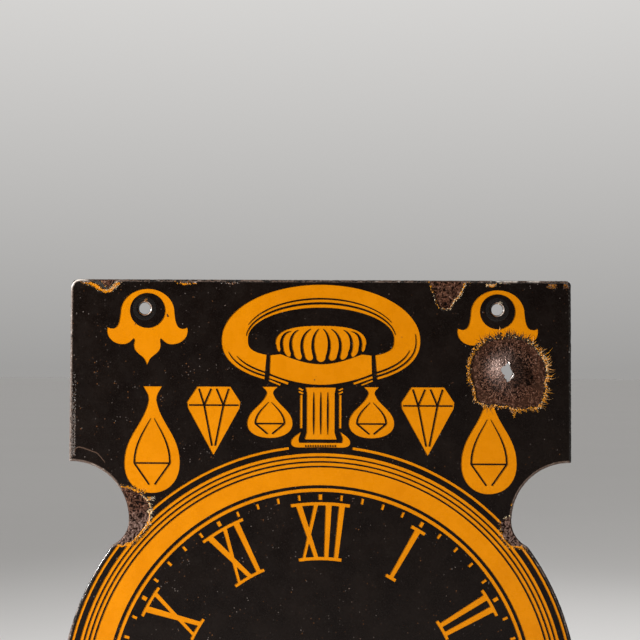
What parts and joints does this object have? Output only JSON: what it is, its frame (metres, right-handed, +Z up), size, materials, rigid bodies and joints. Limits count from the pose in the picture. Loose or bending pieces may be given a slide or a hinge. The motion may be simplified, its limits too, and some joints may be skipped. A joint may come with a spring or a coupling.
{
  "type": "double-sided enamel trade sign",
  "caption": "Flat enamelled steel hanging sign, cut to a panel over a round watch dial, with a stencilled design on both faces and hanging holes in its upper corners.",
  "frame": {"origin": "midway between the two hanging holes, in the middle of the sheet's thickness", "axes": "+Z up in the sheet's plane, +X to the right across the front face, -Y outward from the front face"},
  "size_m": [0.3704, 0.0081, 0.4862],
  "materials": {
    "steel": "bare sheet steel, rusted dark brown where the enamel has gone",
    "edge": "base enamel on the cut edge, worn and stained",
    "ground": "dark ground enamel, fired matt",
    "amber": "glossy amber enamel",
    "black": "glossy black enamel with fine wear"
  },
  "bodies": {
    "root": {"steel_core": "steel", "edge_coat": "edge", "ground_coat_front": "ground", "ground_coat_back": "ground", "amber_coat_front": "amber", "amber_coat_back": "amber", "black_field_front": "black", "black_field_back": "black", "hole_disc_left_front": "black", "hole_disc_left_back": "black", "hole_disc_right_front": "black", "hole_disc_right_back": "black", "bow_hairlines_front": "black", "bow_hairlines_back": "black", "crown_flute_lines_front": "black", "crown_flute_lines_back": "black", "neck_flute_lines_front": "black", "neck_flute_lines_back": "black", "jewel_facet_lines_front": "black", "jewel_facet_lines_back": "black", "case_line_outer_front": "black", "case_line_outer_back": "black", "case_line_middle_front": "black", "case_line_middle_back": "black", "case_line_inner_front": "black", "case_line_inner_back": "black", "bezel_line_front": "black", "bezel_line_back": "black", "dial_face_front": "black", "dial_face_back": "black", "hub_ring_front": "black", "hub_ring_back": "black", "seconds_dial_front": "black", "seconds_dial_back": "black"}
  },
  "joints": []
}
